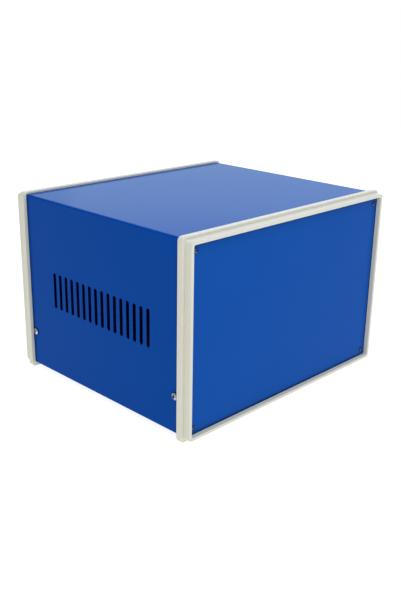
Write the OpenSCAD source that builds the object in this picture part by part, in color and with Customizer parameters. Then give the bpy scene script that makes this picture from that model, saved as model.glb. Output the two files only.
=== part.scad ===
// Metal instrument enclosure: a folded steel tray and a folded, slotted steel cover
// stand between two moulded end frames, and each frame holds a recessed blank panel.
// The front faces -Y, Z = 0 is the surface that the two frames stand on, and X = 0 and
// Y = 0 are the middle of the case. All sizes are in millimetres.

/* [Case] */
// Overall width, across the end frames
case_w = 250; // [200:1:320]
// Overall depth, from the front lip to the rear lip
case_d = 220; // [180:1:320]
// Overall height of the end frames
case_h = 166; // [130:1:220]

/* [End frames] */
// Depth of the wide flange that the sheet metal butts against
flange_d = 5.5; // [4:0.1:9]
// Depth of the smaller lip that stands in front of the flange
lip_d = 7; // [6.5:0.1:10]
// Step from the outline of the flange in to the outline of the lip
lip_step = 2.4; // [1.5:0.1:4]
// Width of the lip's front face, around the panel opening
lip_face = 2.8; // [2:0.1:5]
// Radius of the flange's four corners
flange_corner_r = 3.5; // [2:0.1:6]
// Radius of the lip's four corners
lip_corner_r = 3; // [1.5:0.1:5]
// Radius along the flange's outer edges
flange_edge_r = 0.5; // [0.3:0.1:1.4]
// Radius along the lip's front edge
lip_edge_r = 0.6; // [0.3:0.1:1.4]
// Radius along the front edge of the panel opening
opening_edge_r = 0.5; // [0.2:0.1:0.9]
// Radius of the panel opening's corners
opening_corner_r = 1.5; // [0.5:0.1:4]
// Width of the seat behind the edge of the panel
seat_w = 3; // [2:0.1:5]
// Thickness of the seat behind the panel
seat_t = 2; // [1:0.1:3]
// Wall of the rim that reaches into the sheet metal
rim_t = 2; // [1.5:0.1:3]
// Depth of the rim behind the flange
rim_d = 10; // [6:0.1:16]
// Diameter of the bosses that take the panel screws and the tray screws
boss_d = 8; // [6:0.1:10]
// Depth of the panel screw bosses behind the panel
panel_boss_d = 12; // [10.5:0.1:16]
// Height of the tray screw bosses above the tray
tray_boss_h = 10; // [9:0.1:16]
// Thickness of the webs that tie a boss to the rim
web_t = 2; // [1.5:0.1:3]

/* [Panels] */
// Thickness of the front and rear panels
panel_t = 1.5; // [1:0.1:2.5]
// Distance of the panel's face behind the front of the lip
panel_recess = 4.2; // [2:0.1:5]
// Gap between the edge of a panel and its opening
panel_gap = 0.25; // [0.1:0.05:0.5]
// Distance of the panel screws from the sides of the opening
panel_screw_x_inset = 5.7; // [4.5:0.1:12]
// Distance of the panel screws from the top and bottom of the opening
panel_screw_z_inset = 5.9; // [4.5:0.1:12]

/* [Cover] */
// Distance of the cover's sides inside the flange's outline
cover_side_inset = 3.2; // [2:0.1:5]
// Distance of the cover's top below the top of the flange
cover_top_inset = 1.8; // [1:0.1:5]
// Height of the cover's lower edges above the standing surface
cover_edge_z = 4.7; // [4:0.1:8]
// Thickness of the cover sheet
cover_t = 1; // [0.8:0.1:1.5]
// Inside radius of the cover's two folds
cover_fold_r = 0.8; // [0.4:0.1:2]

/* [Vents] */
// Number of slots in each side of the cover
slot_count = 16; // [4:1:18]
// Distance from one slot to the next
slot_pitch = 8.13; // [6:0.01:9]
// Width of a slot, which has round ends
slot_w = 3.8; // [2:0.1:5]
// Length of a slot, end to end
slot_l = 32.7; // [15:0.1:50]
// Height of the middle of the slots above the standing surface
slot_z = 84.1; // [75:0.1:95]
// Distance of the middle of the slots in front of the middle of the case
slot_forward = 0.85; // [0:0.05:4]

/* [Tray] */
// Thickness of the tray sheet
tray_t = 1.2; // [0.8:0.1:1.5]
// Height of the tray's underside above the standing surface
tray_z = 3.2; // [2.8:0.1:4]
// Inside radius of the tray's two folds
tray_fold_r = 1; // [0.5:0.1:2]
// Height of the tray's sides above the cover screws
tray_side_margin = 8; // [6.5:0.1:15]

/* [Fasteners] */
// Height of the cover screws above the standing surface
cover_screw_z = 36.4; // [25:0.1:50]
// Distance of the cover screws behind the flange
cover_screw_inset = 4.7; // [4:0.1:6]
// Diameter of the cover screws
cover_screw_d = 3; // [2.5:0.1:4]
// Length of the cover screws under the head
cover_screw_l = 10; // [8:0.5:14]
// Diameter of the cover screw heads
cover_head_d = 6; // [5:0.1:7]
// Height of the cover screw heads
cover_head_h = 2.1; // [1.5:0.1:2.5]
// Width across the flats of the nuts in the frames
nut_flats = 5.5; // [5:0.1:7]
// Thickness of the nuts in the frames
nut_t = 2.4; // [1.8:0.1:3.2]
// How far a cover screw stands out past its nut
nut_stand_out = 0.4; // [0:0.1:1]
// Wall of the boss around a nut
nut_boss_wall = 1.8; // [1.2:0.1:2.5]
// Diameter of the panel screws
panel_screw_d = 2; // [1.6:0.1:3]
// Length of the panel screws under the head
panel_screw_l = 8; // [6:0.5:11]
// Diameter of the panel screw heads
panel_head_d = 3.8; // [3:0.1:6]
// Height of the panel screw heads
panel_head_h = 1.3; // [1:0.1:1.9]
// Distance of the tray screws either side of the middle
tray_screw_x = 70; // [20:1:85]
// Diameter of the tray screws
tray_screw_d = 3; // [2.5:0.1:3.5]
// Length of the tray screws under the head
tray_screw_l = 8; // [6:0.5:9]
// Diameter of the tray screw heads
tray_head_d = 5.6; // [5:0.1:7]
// Height of the tray screw heads
tray_head_h = 1.8; // [1.2:0.1:2]

/* [Fits] */
// Gap between pieces that slide into each other
slide_gap = 0.15; // [0.05:0.05:0.3]
// Radial gap around a screw in the sheet that it passes through
hole_gap = 0.2; // [0.1:0.05:0.4]
// Radial gap around a screw in the boss or nut that holds it
thread_gap = 0.05; // [0.02:0.01:0.1]

/* [Hidden] */
$fn = 48;
// How far a cutter runs past the face that it opens
past = 1;

paint_blue = [0.11, 0.32, 0.65];
abs_ivory = [0.88, 0.88, 0.83];
plated_steel = [0.74, 0.76, 0.79];

// Places along the depth of an end frame, measured from the front of its lip
seat_y = panel_recess + panel_t;
butt_y = lip_d + flange_d;
rim_end_y = butt_y + rim_d;
cover_screw_y = butt_y + cover_screw_inset;
tray_screw_y = butt_y + rim_d / 2;

// Panel opening
opening_inset = lip_step + lip_face;
opening_w = case_w - 2 * opening_inset;
opening_h = case_h - 2 * opening_inset;
panel_screw_x = opening_w / 2 - panel_screw_x_inset;
panel_screw_low_z = opening_inset + panel_screw_z_inset;
panel_screw_high_z = case_h - panel_screw_low_z;

// Folded sheets
sheet_l = case_d - 2 * butt_y - 2 * slide_gap;
cover_w = case_w - 2 * cover_side_inset;
cover_top_z = case_h - cover_top_inset;
cover_h = cover_top_z - cover_edge_z;
tray_w = cover_w - 2 * cover_t - 2 * slide_gap;
tray_floor_z = tray_z + tray_t;
tray_side_z = cover_screw_z + tray_side_margin;

// Outside of the rim: it fills the tray's width low down and the cover's width above that
rim_low_w = tray_w - 2 * tray_t - 2 * slide_gap;
rim_high_w = cover_w - 2 * cover_t - 2 * slide_gap;
rim_bottom_z = tray_floor_z + slide_gap;
rim_waist_z = tray_side_z + slide_gap;
rim_top_z = cover_top_z - cover_t - slide_gap;

// Nut bosses: the nut lies flush with the boss's inner end
nut_across = nut_flats / cos(30);
nut_boss_r = nut_across / 2 + nut_boss_wall;
nut_end_x = cover_w / 2 - cover_screw_l + nut_stand_out;

// Form of every pan head, as shares of its own diameter and height
dome_share = 0.6;
cross_span_share = 0.56;
cross_width_share = 0.16;
cross_core_share = 0.36;
cross_depth_share = 0.65;

// Stands a flat outline in X and Z up, from y to y + depth
module stand(y, depth) {
    translate([0, y + depth, 0])
        rotate([90, 0, 0])
            linear_extrude(depth)
                children();
}

// Turns what is built at the front end round to the rear end
module at_rear() {
    rotate([0, 0, 180])
        children();
}

// Moves what is measured from the front of a lip to its place in the case
module at_front() {
    translate([0, -case_d / 2, 0])
        children();
}

// Rectangle with round corners, about its own middle
module round_rect(w, h, r) {
    square([w - 2 * r, h], center = true);
    square([w, h - 2 * r], center = true);
    for (x = [-1, 1], z = [-1, 1])
        translate([x * (w / 2 - r), z * (h / 2 - r)])
            circle(r);
}

// Sweeps a section round a rectangle about its own middle: along each side, and round each corner
module sweep_round(w, h) {
    for (turn = [0:3]) {
        out = turn % 2 == 0 ? w / 2 : h / 2;
        run = turn % 2 == 0 ? h : w;
        rotate([0, turn * 90, 0])
            translate([out, 0, -run / 2]) {
                linear_extrude(run)
                    children();
                rotate([-90, 0, 0])
                    rotate_extrude(angle = 90)
                        children();
            }
    }
}

// Section of a slab's edge: its outer side has a round at the front and at the rear
module slab_edge(reach, depth, r) {
    square([reach - r, depth]);
    translate([0, r])
        square([reach, depth - 2 * r]);
    intersection() {
        square([reach, depth]);
        for (y = [r, depth - r])
            translate([reach - r, y])
                circle(r);
    }
}

// Slab with round corners whose outer edges are rounded too, about its own middle
module soft_slab(w, h, depth, corner_r, edge_r) {
    core_w = w - 2 * corner_r;
    core_h = h - 2 * corner_r;
    translate([-core_w / 2, 0, -core_h / 2])
        cube([core_w, depth, core_h]);
    sweep_round(core_w, core_h)
        slab_edge(corner_r, depth, edge_r);
}

// Section of an opening's edge: it flares out to the front face, which stays rounded
module flared_edge(reach, depth, r) {
    translate([0, -past])
        square([reach, depth + past]);
    difference() {
        translate([0, -past])
            square([reach + r, r + past]);
        translate([reach + r, r])
            circle(r);
    }
}

// Cutter for an opening with round corners and a rounded front edge, about its own middle
module soft_opening(w, h, depth, corner_r, edge_r) {
    core_w = w - 2 * corner_r;
    core_h = h - 2 * corner_r;
    translate([-core_w / 2, -past, -core_h / 2])
        cube([core_w, depth + past, core_h]);
    sweep_round(core_w, core_h)
        flared_edge(corner_r, depth, edge_r);
}

// Outline of a block that stands on z = 0 and has its two upper corners rounded
module arch(w, h, r) {
    translate([-w / 2, 0])
        square([w, h - r]);
    translate([-w / 2 + r, 0])
        square([w - 2 * r, h]);
    for (x = [-1, 1])
        translate([x * (w / 2 - r), h - r])
            circle(r);
}

// Outline of the rim, drawn in by the given amount all round: its corners clear the sheets' folds
module rim_outline(inset) {
    low = rim_bottom_z + inset;
    waist = rim_waist_z + inset;
    high = rim_top_z - inset;
    translate([0, waist])
        arch(rim_high_w - 2 * inset, high - waist, cover_fold_r);
    translate([0, waist])
        mirror([0, 1])
            arch(rim_low_w - 2 * inset, waist - low, tray_fold_r);
}

// Calls for its children at the four panel screws
module each_panel_screw() {
    for (x = [-1, 1], z = [panel_screw_low_z, panel_screw_high_z])
        translate([x * panel_screw_x, 0, z])
            children();
}

// Calls for its children at the two tray screws of one frame
module each_tray_screw() {
    for (x = [-1, 1])
        translate([x * tray_screw_x, tray_screw_y, 0])
            children();
}

// Boss for a panel screw, with webs out to the side and to the top or bottom of the rim
module panel_boss(side, z) {
    wall_z = z < case_h / 2 ? rim_bottom_z + rim_t / 2 : rim_top_z - rim_t / 2;
    wall_w = z < case_h / 2 ? rim_low_w : rim_high_w;
    wall_x = wall_w / 2 - rim_t / 2;
    translate([side * panel_screw_x, seat_y, z])
        rotate([-90, 0, 0])
            cylinder(h = panel_boss_d, d = boss_d);
    translate([side > 0 ? panel_screw_x : -wall_x, seat_y, z - web_t / 2])
        cube([wall_x - panel_screw_x, panel_boss_d, web_t]);
    translate([side * panel_screw_x - web_t / 2, seat_y, min(z, wall_z)])
        cube([web_t, panel_boss_d, abs(z - wall_z)]);
}

// Moulded end frame, measured from the front of its lip
module end_frame() {
    difference() {
        union() {
            difference() {
                union() {
                    translate([0, lip_d, case_h / 2])
                        soft_slab(case_w, case_h, flange_d, flange_corner_r, flange_edge_r);
                    translate([0, 0, case_h / 2])
                        soft_slab(case_w - 2 * lip_step, case_h - 2 * lip_step,
                                  lip_d + flange_d / 2, lip_corner_r, lip_edge_r);
                    stand(lip_d, flange_d + rim_d)
                        rim_outline(0);
                }
                translate([0, 0, case_h / 2]) {
                    soft_opening(opening_w, opening_h, seat_y, opening_corner_r, opening_edge_r);
                    stand(-past, seat_y + seat_t + 2 * past)
                        round_rect(opening_w - 2 * seat_w, opening_h - 2 * seat_w, opening_corner_r);
                }
                stand(seat_y + seat_t, rim_end_y)
                    rim_outline(rim_t);
            }
            for (side = [-1, 1], z = [panel_screw_low_z, panel_screw_high_z])
                panel_boss(side, z);
            for (side = [-1, 1])
                translate([side * nut_end_x, cover_screw_y, cover_screw_z])
                    rotate([0, side * 90, 0])
                        cylinder(h = rim_low_w / 2 - nut_end_x, r = nut_boss_r);
            each_tray_screw()
                translate([0, 0, rim_bottom_z])
                    cylinder(h = tray_boss_h, d = boss_d);
        }
        each_panel_screw()
            translate([0, seat_y - past, 0])
                rotate([-90, 0, 0])
                    cylinder(h = panel_screw_l - panel_t + 2 * past, r = panel_screw_d / 2 + thread_gap);
        for (side = [-1, 1])
            translate([side * (nut_end_x - past), cover_screw_y, cover_screw_z])
                rotate([0, side * 90, 0]) {
                    cylinder(h = cover_w, r = cover_screw_d / 2 + hole_gap);
                    cylinder(h = nut_t + past, d = nut_across + 2 * slide_gap, $fn = 6);
                }
        each_tray_screw()
            translate([0, 0, rim_bottom_z - past])
                cylinder(h = tray_screw_l - tray_t + 2 * past, r = tray_screw_d / 2 + thread_gap);
    }
}

// Blank panel, measured from the front of the lip
module blank_panel() {
    difference() {
        translate([0, 0, case_h / 2])
            stand(panel_recess, panel_t)
                round_rect(opening_w - 2 * panel_gap, opening_h - 2 * panel_gap,
                           opening_corner_r - panel_gap);
        each_panel_screw()
            translate([0, panel_recess - past, 0])
                rotate([-90, 0, 0])
                    cylinder(h = panel_t + 2 * past, r = panel_screw_d / 2 + hole_gap);
    }
}

// Section of a folded channel that is open below
module channel_section(w, h, t, fold_r) {
    difference() {
        arch(w, h, fold_r + t);
        translate([0, -past])
            arch(w - 2 * t, h - t + past, fold_r);
    }
}

// Calls for its children at the heights and depths of the cover screws, in the middle of the case
module each_cover_screw() {
    for (y = [-1, 1])
        translate([0, y * (case_d / 2 - cover_screw_y), cover_screw_z])
            children();
}

// Round bar across the whole case, which cuts one hole in each side
module side_holes(r) {
    each_cover_screw()
        rotate([0, 90, 0])
            cylinder(h = case_w, r = r, center = true);
}

// Round-ended bars across the whole case, which cut the vents in both sides
module vent_slots() {
    straight = slot_l - slot_w;
    for (i = [0 : slot_count - 1])
        translate([0, (i - (slot_count - 1) / 2) * slot_pitch - slot_forward, slot_z])
            rotate([90, 0, 90])
                linear_extrude(case_w, center = true) {
                    square([slot_w, straight], center = true);
                    for (end = [-1, 1])
                        translate([0, end * straight / 2])
                            circle(d = slot_w);
                }
}

// Pan head screw with a cross recess: the head stands above z = 0 and the shank hangs below
module pan_screw(d, l, head_d, head_h) {
    rise = head_h * dome_share;
    dome_r = (pow(head_d / 2, 2) + pow(rise, 2)) / (2 * rise);
    cross_l = head_d * cross_span_share;
    cross_w = head_d * cross_width_share;
    cross_core_d = head_d * cross_core_share;
    cross_depth = head_h * cross_depth_share;
    difference() {
        intersection() {
            cylinder(h = head_h, d = head_d);
            translate([0, 0, head_h - dome_r])
                sphere(dome_r);
        }
        for (turn = [0, 90])
            rotate([0, 0, turn])
                translate([-cross_l / 2, -cross_w / 2, head_h - cross_depth])
                    cube([cross_l, cross_w, head_h]);
        translate([0, 0, head_h - cross_depth])
            cylinder(h = cross_depth, d1 = cross_w, d2 = cross_core_d);
    }
    translate([0, 0, -l + d / 2])
        cylinder(h = l - d / 2, d = d);
    translate([0, 0, -l])
        cylinder(h = d / 2, d1 = d / 2, d2 = d);
}

module panel_screws() {
    each_panel_screw()
        translate([0, panel_recess, 0])
            rotate([90, 0, 0])
                pan_screw(panel_screw_d, panel_screw_l, panel_head_d, panel_head_h);
}

module cover_screws(side) {
    each_cover_screw()
        translate([side * cover_w / 2, 0, 0])
            rotate([0, side * 90, 0])
                pan_screw(cover_screw_d, cover_screw_l, cover_head_d, cover_head_h);
}

module cover_nuts(side) {
    each_cover_screw()
        translate([side * nut_end_x, 0, 0])
            rotate([0, side * 90, 0])
                difference() {
                    cylinder(h = nut_t, d = nut_across, $fn = 6);
                    translate([0, 0, -past])
                        cylinder(h = nut_t + 2 * past, r = cover_screw_d / 2 + thread_gap);
                }
}

module tray_screws() {
    each_tray_screw()
        translate([0, 0, tray_z])
            rotate([180, 0, 0])
                pan_screw(tray_screw_d, tray_screw_l, tray_head_d, tray_head_h);
}

module front_frame() {
    color(abs_ivory)
        at_front()
            end_frame();
}

module rear_frame() {
    color(abs_ivory)
        at_rear()
            at_front()
                end_frame();
}

module front_panel() {
    color(paint_blue)
        at_front()
            blank_panel();
}

module rear_panel() {
    color(paint_blue)
        at_rear()
            at_front()
                blank_panel();
}

module top_cover() {
    color(paint_blue)
        difference() {
            translate([0, 0, cover_edge_z])
                stand(-sheet_l / 2, sheet_l)
                    channel_section(cover_w, cover_h, cover_t, cover_fold_r);
            side_holes(cover_screw_d / 2 + hole_gap);
            vent_slots();
        }
}

module base_tray() {
    color(paint_blue)
        difference() {
            translate([0, 0, tray_side_z])
                mirror([0, 0, 1])
                    stand(-sheet_l / 2, sheet_l)
                        channel_section(tray_w, tray_side_z - tray_z, tray_t, tray_fold_r);
            side_holes(cover_screw_d / 2 + hole_gap);
            for (end = [0, 180])
                rotate([0, 0, end])
                    at_front()
                        each_tray_screw()
                            cylinder(h = tray_floor_z + past, r = tray_screw_d / 2 + hole_gap);
        }
}

module front_panel_screws() {
    color(plated_steel)
        at_front()
            panel_screws();
}

module rear_panel_screws() {
    color(plated_steel)
        at_rear()
            at_front()
                panel_screws();
}

module left_cover_screws() {
    color(plated_steel)
        cover_screws(-1);
}

module right_cover_screws() {
    color(plated_steel)
        cover_screws(1);
}

module left_cover_nuts() {
    color(plated_steel)
        cover_nuts(-1);
}

module right_cover_nuts() {
    color(plated_steel)
        cover_nuts(1);
}

module front_tray_screws() {
    color(plated_steel)
        at_front()
            tray_screws();
}

module rear_tray_screws() {
    color(plated_steel)
        at_rear()
            at_front()
                tray_screws();
}

front_frame();
rear_frame();
front_panel();
rear_panel();
top_cover();
base_tray();
front_panel_screws();
rear_panel_screws();
left_cover_screws();
right_cover_screws();
left_cover_nuts();
right_cover_nuts();
front_tray_screws();
rear_tray_screws();
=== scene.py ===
# Metal instrument enclosure: finishes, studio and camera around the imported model.
import math
import bpy
from mathutils import Matrix, Vector

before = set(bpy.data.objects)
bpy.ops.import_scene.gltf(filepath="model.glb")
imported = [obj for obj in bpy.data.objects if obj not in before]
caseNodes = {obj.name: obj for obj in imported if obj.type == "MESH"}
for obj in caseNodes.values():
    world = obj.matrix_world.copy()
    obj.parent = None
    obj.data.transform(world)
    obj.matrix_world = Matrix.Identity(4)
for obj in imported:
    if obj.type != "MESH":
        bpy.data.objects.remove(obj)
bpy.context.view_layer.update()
mmPerMetre = 1000
print("frame loaded:", len(caseNodes), "nodes")


def hexToLinear(code):
    parts = [int(code[i:i + 2], 16) / 255 for i in (1, 3, 5)]
    return [p / 12.92 if p <= 0.04045 else ((p + 0.055) / 1.055) ** 2.4 for p in parts] + [1.0]


# Adds one node: its own settings, then socket values by name, then links from other nodes' outputs
def addNode(tree, kind, sockets=None, links=None, **settings):
    made = tree.nodes.new(kind)
    for name, value in settings.items():
        setattr(made, name, value)
    for name, value in (sockets or {}).items():
        made.inputs[name].default_value = value
    for name, source in (links or {}).items():
        tree.links.new(source, made.inputs[name])
    return made


def newMaterial(name):
    made = bpy.data.materials.new(name)
    made.use_nodes = True
    made.node_tree.nodes.clear()
    return made, made.node_tree


def wear(material, *names):
    for name in names:
        caseNodes[name].data.materials.clear()
        caseNodes[name].data.materials.append(material)


# Shared by all finishes
patternLook = {
    "noiseSpan": (0.3, 0.7),  # nearly all of a noise pattern lies between these values
    "cornerRays": 8,
}


# Socket values that spread a noise pattern over a finish's roughness
def roughnessRange(look):
    (low, high), (smooth, dull) = patternLook["noiseSpan"], look["roughness"]
    return {"From Min": low, "From Max": high, "To Min": smooth, "To Max": dull}


# Paints shade into a colour where the surface has little open space, as in corners, recesses and gaps
def paintCornerShade(tree, look, colour):
    closed, opened = look["cornerOpenness"]
    space = addNode(tree, "ShaderNodeAmbientOcclusion",
                    {"Distance": look["cornerMm"] / mmPerMetre},
                    samples=patternLook["cornerRays"])
    shade = addNode(tree, "ShaderNodeMapRange", {"From Min": closed, "From Max": opened},
                    {"Value": space.outputs["AO"]})
    return addNode(tree, "ShaderNodeMix", {"A": hexToLinear(look["corner"])},
                   {"Factor": shade.outputs["Result"], "B": colour.outputs["Result"]},
                   data_type="RGBA")


# Powder-coated steel sheet: baked polyester powder, so a smooth blue skin with a faint orange peel.
# It shines at a grazing view and hardly mirrors face on. Painted shade darkens its corners and, on the
# cover, the walls of its slots.
coverLook = {
    "name": "powderCoatedSteel",
    "blue": "#024597",
    "blueThin": "#02479b",
    "corner": "#02102a",
    "cornerMm": 3.0,
    "cornerOpenness": (0.5, 1.0),
    "roughness": (0.13, 0.16),
    "ior": 1.5,
    "specular": 0.022,     # weak, so that the faces don't mirror the pale table
    "peelMm": 1.6,         # real peel is about 0.6 mm, drawn coarser so that it shows
    "peelDepthMm": 0.003,
    "peelStrength": 0.5,
    "peelDetail": 1.0,
    "mottleMm": 45,
    "mottleDetail": 3.0,
    "slotWallShade": "#03103e",
}
# The panels are coated apart from the cover and came out a little lighter
panelLook = dict(coverLook, name="powderCoatedPanel", blue="#0f4d9d", blueThin="#1151a1",
                 slotWallShade=None)


def powderCoatedSteel(look):
    made, tree = newMaterial(look["name"])
    where = addNode(tree, "ShaderNodeTexCoord")
    place = where.outputs["Object"]
    mottle = addNode(tree, "ShaderNodeTexNoise",
                     {"Scale": mmPerMetre / look["mottleMm"], "Detail": look["mottleDetail"]},
                     {"Vector": place})
    peel = addNode(tree, "ShaderNodeTexNoise",
                   {"Scale": mmPerMetre / look["peelMm"], "Detail": look["peelDetail"]},
                   {"Vector": place})
    colour = addNode(tree, "ShaderNodeMix",
                     {"A": hexToLinear(look["blue"]), "B": hexToLinear(look["blueThin"])},
                     {"Factor": mottle.outputs["Fac"]}, data_type="RGBA")
    # painted shade in the sheet's corners and where it meets the frames
    shadedColour = paintCornerShade(tree, look, colour)
    if look["slotWallShade"]:  # painted shade on the slots' walls, which face along the case
        facing = addNode(tree, "ShaderNodeSeparateXYZ", None, {"Vector": where.outputs["Normal"]})
        along = addNode(tree, "ShaderNodeMath", None, {0: facing.outputs["Y"]},
                        operation="ABSOLUTE")
        shadedColour = addNode(tree, "ShaderNodeMix", {"B": hexToLinear(look["slotWallShade"])},
                       {"Factor": along.outputs["Value"], "A": shadedColour.outputs["Result"]},
                       data_type="RGBA")
    gloss = addNode(tree, "ShaderNodeMapRange", roughnessRange(look),
                    {"Value": mottle.outputs["Fac"]})
    bump = addNode(tree, "ShaderNodeBump",
                   {"Strength": look["peelStrength"],
                    "Distance": look["peelDepthMm"] / mmPerMetre},
                   {"Height": peel.outputs["Fac"]})
    skin = addNode(tree, "ShaderNodeBsdfPrincipled",
                   {"IOR": look["ior"], "Specular IOR Level": look["specular"]},
                   {"Base Color": shadedColour.outputs["Result"], "Roughness": gloss.outputs["Result"],
                    "Normal": bump.outputs["Normal"]})
    addNode(tree, "ShaderNodeOutputMaterial", None, {"Surface": skin.outputs["BSDF"]})
    return made


wear(powderCoatedSteel(coverLook), "top_cover", "base_tray")
wear(powderCoatedSteel(panelLook), "front_panel", "rear_panel")
print("sheet metal coated")

# Moulded ABS: warm white, with a fine spark-eroded grain that softens its shine. Painted shade darkens
# its narrow gaps.
# Inside the case the plastic is painted dark grey as painted shade, so the vents look black.
frameLook = {
    "ivory": "#e1dec9",
    "ivoryDeep": "#dddac5",
    "corner": "#10141c",
    "cornerMm": 1.0,
    "cornerOpenness": (0.2, 0.5),
    "roughness": (0.42, 0.52),
    "ior": 1.54,
    "specular": 0.2,
    "grainMm": 1.0,        # real grain is about 0.2 mm, drawn coarser so that it shows
    "grainDepthMm": 0.01,
    "grainStrength": 0.5,
    "grainDetail": 2.0,
    "flowMm": 60,
    "flowDetail": 3.0,
    "insideShade": "#333539",
    "insideMm": (241.4, 208.4, 158.6),   # room between the sheets and between the two panels
    "insideMiddleMm": (0.0, 0.0, 83.8),
}


def mouldedAbs(look):
    made, tree = newMaterial("mouldedAbs")
    place = addNode(tree, "ShaderNodeTexCoord").outputs["Object"]
    flow = addNode(tree, "ShaderNodeTexNoise",
                   {"Scale": mmPerMetre / look["flowMm"], "Detail": look["flowDetail"]},
                   {"Vector": place})
    grain = addNode(tree, "ShaderNodeTexNoise",
                    {"Scale": mmPerMetre / look["grainMm"], "Detail": look["grainDetail"]},
                    {"Vector": place})
    colour = addNode(tree, "ShaderNodeMix",
                     {"A": hexToLinear(look["ivory"]), "B": hexToLinear(look["ivoryDeep"])},
                     {"Factor": flow.outputs["Fac"]}, data_type="RGBA")
    # painted shade in the frame's narrow gaps and tight corners
    gapShaded = paintCornerShade(tree, look, colour)
    # A point is inside where each distance from the middle is under half the room, a share below 1
    offset = addNode(tree, "ShaderNodeVectorMath",
                     {1: Vector(look["insideMiddleMm"]) / mmPerMetre}, {0: place},
                     operation="SUBTRACT")
    away = addNode(tree, "ShaderNodeVectorMath", None, {0: offset.outputs["Vector"]},
                   operation="ABSOLUTE")
    share = addNode(tree, "ShaderNodeVectorMath",
                    {1: Vector(look["insideMm"]) / (2 * mmPerMetre)},
                    {0: away.outputs["Vector"]}, operation="DIVIDE")
    axes = addNode(tree, "ShaderNodeSeparateXYZ", None, {"Vector": share.outputs["Vector"]})
    level = addNode(tree, "ShaderNodeMath", None, {0: axes.outputs["X"], 1: axes.outputs["Y"]},
                    operation="MAXIMUM")
    furthest = addNode(tree, "ShaderNodeMath", None,
                       {0: level.outputs["Value"], 1: axes.outputs["Z"]}, operation="MAXIMUM")
    within = addNode(tree, "ShaderNodeMath", {1: 1.0}, {0: furthest.outputs["Value"]},
                     operation="LESS_THAN")
    # painted shade: the plastic inside the case is mixed to dark grey
    shadedColour = addNode(tree, "ShaderNodeMix", {"B": hexToLinear(look["insideShade"])},
                   {"Factor": within.outputs["Value"], "A": gapShaded.outputs["Result"]},
                   data_type="RGBA")
    gloss = addNode(tree, "ShaderNodeMapRange", roughnessRange(look),
                    {"Value": grain.outputs["Fac"]})
    bump = addNode(tree, "ShaderNodeBump",
                   {"Strength": look["grainStrength"],
                    "Distance": look["grainDepthMm"] / mmPerMetre},
                   {"Height": grain.outputs["Fac"]})
    skin = addNode(tree, "ShaderNodeBsdfPrincipled",
                   {"IOR": look["ior"], "Specular IOR Level": look["specular"]},
                   {"Base Color": shadedColour.outputs["Result"], "Roughness": gloss.outputs["Result"],
                    "Normal": bump.outputs["Normal"]})
    addNode(tree, "ShaderNodeOutputMaterial", None, {"Surface": skin.outputs["BSDF"]})
    return made


wear(mouldedAbs(frameLook), "front_frame", "rear_frame")
print("end frames moulded")

# Zinc-plated steel: a bright metal with a slightly cloudy, bluish passivation, with painted shade in its
# recess
zincLook = {
    "name": "zincPlatedSteel",
    "bright": "#ccd3dd",
    "cloud": "#93a0b4",
    "corner": "#0a0b0d",
    "cornerMm": 3.0,
    "cornerOpenness": (0.5, 1.0),
    "roughness": (0.16, 0.28),
    "cloudMm": 2.0,
    "cloudDetail": 3.0,
}
# Black nickel-plated steel: a smoky, bluish dark mirror, with painted shade in its recess
blackNickelLook = dict(zincLook, name="blackNickelPlatedSteel", bright="#5a74a6", cloud="#344c7c",
                       corner="#030408", cornerMm=0.6, roughness=(0.08, 0.14))


def platedSteel(look):
    made, tree = newMaterial(look["name"])
    place = addNode(tree, "ShaderNodeTexCoord").outputs["Object"]
    cloud = addNode(tree, "ShaderNodeTexNoise",
                    {"Scale": mmPerMetre / look["cloudMm"], "Detail": look["cloudDetail"]},
                    {"Vector": place})
    colour = addNode(tree, "ShaderNodeMix",
                     {"A": hexToLinear(look["bright"]), "B": hexToLinear(look["cloud"])},
                     {"Factor": cloud.outputs["Fac"]}, data_type="RGBA")
    # painted shade in the head's recess and where it meets other parts
    recessShaded = paintCornerShade(tree, look, colour)
    gloss = addNode(tree, "ShaderNodeMapRange", roughnessRange(look),
                    {"Value": cloud.outputs["Fac"]})
    skin = addNode(tree, "ShaderNodeBsdfPrincipled", {"Metallic": 1.0},
                   {"Base Color": recessShaded.outputs["Result"], "Roughness": gloss.outputs["Result"]})
    addNode(tree, "ShaderNodeOutputMaterial", None, {"Surface": skin.outputs["BSDF"]})
    return made


wear(platedSteel(zincLook), "left_cover_screws", "right_cover_screws", "left_cover_nuts",
     "right_cover_nuts", "front_tray_screws", "rear_tray_screws")
wear(platedSteel(blackNickelLook), "front_panel_screws", "rear_panel_screws")
print("screws and nuts plated")

# Studio: a pale glowing table in even, pale surroundings, which the camera sees as pure white
studioLook = {
    "floorWhite": "#aaaaaa",
    "floorRoughness": 0.9,
    "floorSpecular": 0.0,
    "floorGlow": 0.88,
    "floorReach": 1.5,
    "surround": 0.51,
    "surroundTint": "#eef4ff",
    "backdrop": 1.0,
    "white": "#ffffff",
    "aim": (0.0, -0.03, 0.08),
}
# A large light overhead, one in front, and a wide and a smaller one behind that shine on the top
softboxes = [
    {"name": "topSoftbox", "place": (0.1, 0.1, 1.6), "side": (1.2, 1.2),
     "radiance": 1.55, "tint": "#fff2f6"},
    {"name": "frontSoftbox", "place": (-0.2, -0.6, 0.9), "side": (0.7, 0.7),
     "radiance": 3.1, "tint": "#d8e0ff"},
    {"name": "backSoftbox", "place": (1.3, 1.3, 0.7), "side": (3.2, 0.8),
     "radiance": 1.22, "tint": "#b9e6ff"},
    {"name": "rightSoftbox", "place": (1.5, 1.05, 1.0), "side": (1.6, 0.9),
     "radiance": 0.42, "tint": "#e0f4ff"},
]


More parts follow.
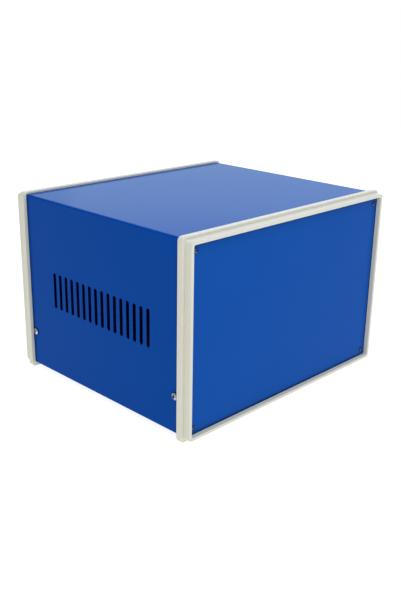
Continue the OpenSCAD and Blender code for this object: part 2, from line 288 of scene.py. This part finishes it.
def studioFloor(look):
    made, tree = newMaterial("frostedAcrylicTable")
    skin = addNode(tree, "ShaderNodeBsdfPrincipled",
                   {"Base Color": hexToLinear(look["floorWhite"]),
                    "Roughness": look["floorRoughness"],
                    "Specular IOR Level": look["floorSpecular"],
                    "Emission Color": hexToLinear(look["white"]),
                    "Emission Strength": look["floorGlow"]})
    addNode(tree, "ShaderNodeOutputMaterial", None, {"Surface": skin.outputs["BSDF"]})
    reach = look["floorReach"]
    sheet = bpy.data.meshes.new("studioFloor")
    corners = [(-reach, -reach, 0), (reach, -reach, 0), (reach, reach, 0), (-reach, reach, 0)]
    sheet.from_pydata(corners, [], [(0, 1, 2, 3)])
    sheet.materials.append(made)
    floor = bpy.data.objects.new("studioFloor", sheet)
    bpy.context.scene.collection.objects.link(floor)


def studioSurround(look):
    world = bpy.data.worlds.new("studioSurround")
    bpy.context.scene.world = world
    world.use_nodes = True
    tree = world.node_tree
    tree.nodes.clear()
    light = addNode(tree, "ShaderNodeBackground",
                    {"Strength": look["surround"], "Color": hexToLinear(look["surroundTint"])})
    seen = addNode(tree, "ShaderNodeBackground",
                   {"Strength": look["backdrop"], "Color": hexToLinear(look["white"])})
    path = addNode(tree, "ShaderNodeLightPath")
    both = addNode(tree, "ShaderNodeMixShader", None,
                   {"Fac": path.outputs["Is Camera Ray"], 1: light.outputs["Background"],
                    2: seen.outputs["Background"]})
    addNode(tree, "ShaderNodeOutputWorld", None, {"Surface": both.outputs["Shader"]})


def softbox(look, aim):
    lamp = bpy.data.lights.new(look["name"], "AREA")
    lamp.shape = "RECTANGLE"
    lamp.size, lamp.size_y = look["side"]
    lamp.color = hexToLinear(look["tint"])[:3]
    lamp.energy = look["radiance"] * math.pi * lamp.size * lamp.size_y
    box = bpy.data.objects.new(look["name"], lamp)
    box.location = look["place"]
    box.rotation_mode = "QUATERNION"
    box.rotation_quaternion = (Vector(aim) - box.location).to_track_quat("-Z", "Y")
    bpy.context.scene.collection.objects.link(box)


studioFloor(studioLook)
studioSurround(studioLook)
for boxLook in softboxes:
    softbox(boxLook, studioLook["aim"])
bpy.context.scene.view_settings.view_transform = "Standard"
print("studio lit")

# Camera solved from the photograph's straight edges
cameraLook = {
    "place": (-0.51542, -0.50416, 0.31908),
    "right": (0.70357688, -0.71044603, 0.01568450),
    "up": (0.22885553, 0.24742804, 0.94149058),
    "back": (-0.67275903, -0.65882152, 0.33667416),
    "lensMm": 48.758,
    "sensorMm": 36.0,
    "clip": (0.01, 100.0),
}


def photoCamera(look):
    seen = bpy.data.cameras.new("photoCamera")
    seen.sensor_width = look["sensorMm"]
    seen.lens = look["lensMm"]
    seen.clip_start, seen.clip_end = look["clip"]
    eye = bpy.data.objects.new("photoCamera", seen)
    turn = Matrix((look["right"], look["up"], look["back"])).transposed()
    eye.rotation_mode = "QUATERNION"
    eye.rotation_quaternion = turn.to_quaternion()
    eye.location = look["place"]
    bpy.context.scene.collection.objects.link(eye)
    bpy.context.scene.camera = eye


photoCamera(cameraLook)
print("camera placed")
